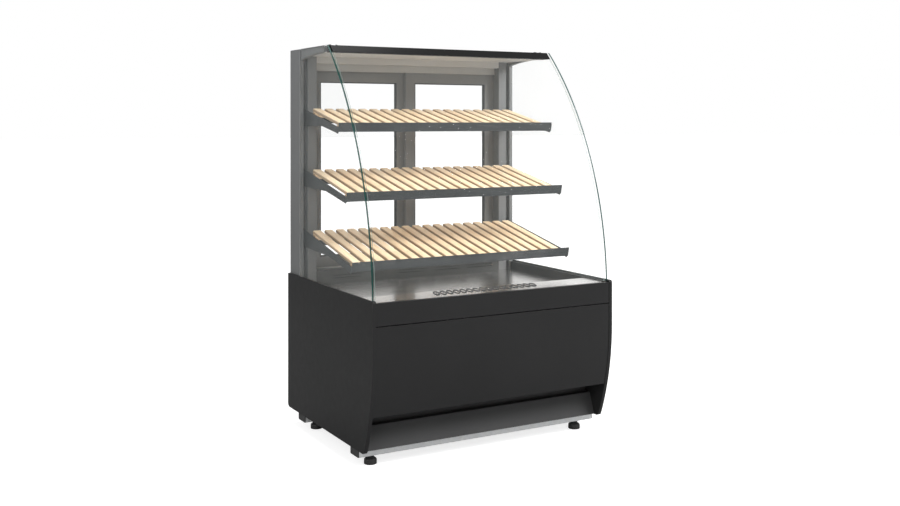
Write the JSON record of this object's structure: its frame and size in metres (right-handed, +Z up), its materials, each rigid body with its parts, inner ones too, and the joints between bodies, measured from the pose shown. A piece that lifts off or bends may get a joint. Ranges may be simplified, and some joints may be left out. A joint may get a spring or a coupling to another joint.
{
  "type": "bread display case",
  "caption": "Bread display case with a black base, bowed front, tilted slatted wooden shelves, glass sides, a lift-up curved front glass and sliding rear doors.",
  "frame": {"origin": "centre of the footprint, on the floor", "axes": "+Z up, -Y towards the customer's side, +X to the right seen from the front"},
  "size_m": [0.9, 0.707, 1.328],
  "materials": {
    "coated_black": "satin black powder coat",
    "coated_grey": "satin anthracite powder coat",
    "anodised_track": "dark anodised",
    "galvanised": "galvanised, dull",
    "stainless": "brushed stainless, glossy",
    "steel_hardware": "zinc plated",
    "rail_black": "black anodised",
    "black_plastic": "matte",
    "clear_glass": "clear float glass",
    "beech": "oiled beech"
  },
  "bodies": {
    "cabinet": {"ceiling_cover": "coated_grey", "column_left": "coated_grey", "column_right": "coated_grey", "deck": "stainless", "deck_rails": "galvanised", "door_track_lower": "anodised_track", "door_track_upper": "anodised_track", "floor_sheet": "galvanised", "front_band": "coated_black", "front_main_panel": "coated_black", "glass_retainers": "black_plastic", "header_cover": "coated_grey", "hinge_brackets": "steel_hardware", "hinge_pins": "steel_hardware", "kick_panel": "coated_black", "plinth_beam_front": "galvanised", "plinth_beam_plugs": "black_plastic", "plinth_beam_rear": "galvanised", "rear_inner_wall": "coated_grey", "rear_service_panel": "coated_black", "rear_sill_cover": "coated_black", "roof_consoles": "coated_grey", "roof_front_profile": "coated_grey", "roof_sheet": "coated_grey", "service_panel_screws": "steel_hardware", "shelf_1_brackets": "coated_grey", "shelf_1_lip": "coated_grey", "shelf_1_rear_rail": "coated_grey", "shelf_2_brackets": "coated_grey", "shelf_2_lip": "coated_grey", "shelf_2_rear_rail": "coated_grey", "shelf_3_brackets": "coated_grey", "shelf_3_lip": "coated_grey", "shelf_3_rear_rail": "coated_grey", "side_glass_left": "clear_glass", "side_glass_right": "clear_glass", "side_panel_left": "coated_black", "side_panel_right": "coated_black"},
    "front_glass_assembly": {"front_glass": "clear_glass", "front_glass_profile": "rail_black"},
    "door_left": {"left_door_frame": "coated_grey", "left_door_pane": "clear_glass", "left_door_pull": "black_plastic", "left_door_rollers": "steel_hardware"},
    "door_right": {"right_door_frame": "coated_grey", "right_door_pane": "clear_glass", "right_door_pull": "black_plastic", "right_door_rollers": "steel_hardware"},
    "tray_1": {"tray_1_slats": "beech", "tray_1_battens": "beech"},
    "tray_2": {"tray_2_slats": "beech", "tray_2_battens": "beech"},
    "tray_3": {"tray_3_slats": "beech", "tray_3_battens": "beech"},
    "foot_front_left_body": {"foot_front_left": "black_plastic"},
    "foot_front_right_body": {"foot_front_right": "black_plastic"},
    "foot_rear_left_body": {"foot_rear_left": "black_plastic"},
    "foot_rear_right_body": {"foot_rear_right": "black_plastic"}
  },
  "joints": [
    {"name": "front_glass_hinge", "type": "hinge", "parent": "cabinet", "child": "front_glass_assembly", "pos_m": [0, 0.04195, 1.32], "axis": [-1, 0, 0], "range_deg": [0, 60]},
    {"name": "left_door_slide", "type": "slide", "parent": "cabinet", "child": "door_left", "axis": [1, 0, 0], "range_m": [0, 0.365]},
    {"name": "right_door_slide", "type": "slide", "parent": "cabinet", "child": "door_right", "axis": [-1, 0, 0], "range_m": [0, 0.365]},
    {"name": "tray_1_lift", "type": "slide", "parent": "cabinet", "child": "tray_1", "axis": [0, -0.2096, 0.9778], "range_m": [0, 0.05]},
    {"name": "tray_2_lift", "type": "slide", "parent": "cabinet", "child": "tray_2", "axis": [0, -0.2096, 0.9778], "range_m": [0, 0.05]},
    {"name": "tray_3_lift", "type": "slide", "parent": "cabinet", "child": "tray_3", "axis": [0, -0.2096, 0.9778], "range_m": [0, 0.05]},
    {"name": "foot_front_left_level", "type": "slide", "parent": "cabinet", "child": "foot_front_left_body", "axis": [0, 0, -1], "range_m": [0, 0.012]},
    {"name": "foot_front_right_level", "type": "slide", "parent": "cabinet", "child": "foot_front_right_body", "axis": [0, 0, -1], "range_m": [0, 0.012]},
    {"name": "foot_rear_left_level", "type": "slide", "parent": "cabinet", "child": "foot_rear_left_body", "axis": [0, 0, -1], "range_m": [0, 0.012]},
    {"name": "foot_rear_right_level", "type": "slide", "parent": "cabinet", "child": "foot_rear_right_body", "axis": [0, 0, -1], "range_m": [0, 0.012]}
  ]
}
